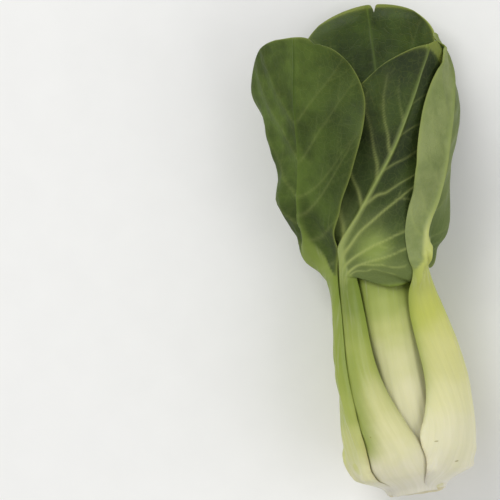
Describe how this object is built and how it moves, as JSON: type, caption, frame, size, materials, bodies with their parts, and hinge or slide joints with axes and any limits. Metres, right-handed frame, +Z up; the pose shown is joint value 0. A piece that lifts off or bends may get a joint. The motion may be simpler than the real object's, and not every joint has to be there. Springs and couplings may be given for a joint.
{
  "type": "bok choy",
  "caption": "Head of green-stemmed bok choy lying on its side: broad pale fleshy stalks in a bulb round a cut crown, opening into rounded dark green leaf blades.",
  "frame": {"origin": "on the surface the head lies on, under the middle of its box", "axes": "+Y along the head from the cut crown to the leaf tips, +Z up from the surface, +X to the right when looking down with the leaf tips ahead"},
  "size_m": [0.1023, 0.2172, 0.0664],
  "materials": {
    "leaf": "smooth waxy skin, dark green blade over a pale yellow-green stalk",
    "young_leaf": "smooth, tender, pale yellow-green",
    "crown": "cream, fibrous cut face, slightly browned"
  },
  "bodies": {
    "root": {"crown": "crown", "left_leaf": "leaf", "right_leaf": "leaf", "left_low_leaf": "leaf", "right_low_leaf": "leaf", "under_leaf_left": "leaf", "under_leaf_right": "leaf", "front_leaf": "leaf", "back_leaf": "leaf", "inner_leaf_front": "leaf", "inner_leaf_right": "leaf", "inner_leaf_back": "leaf", "heart_leaf_1": "young_leaf", "heart_leaf_2": "young_leaf", "heart_leaf_3": "young_leaf"}
  },
  "joints": []
}
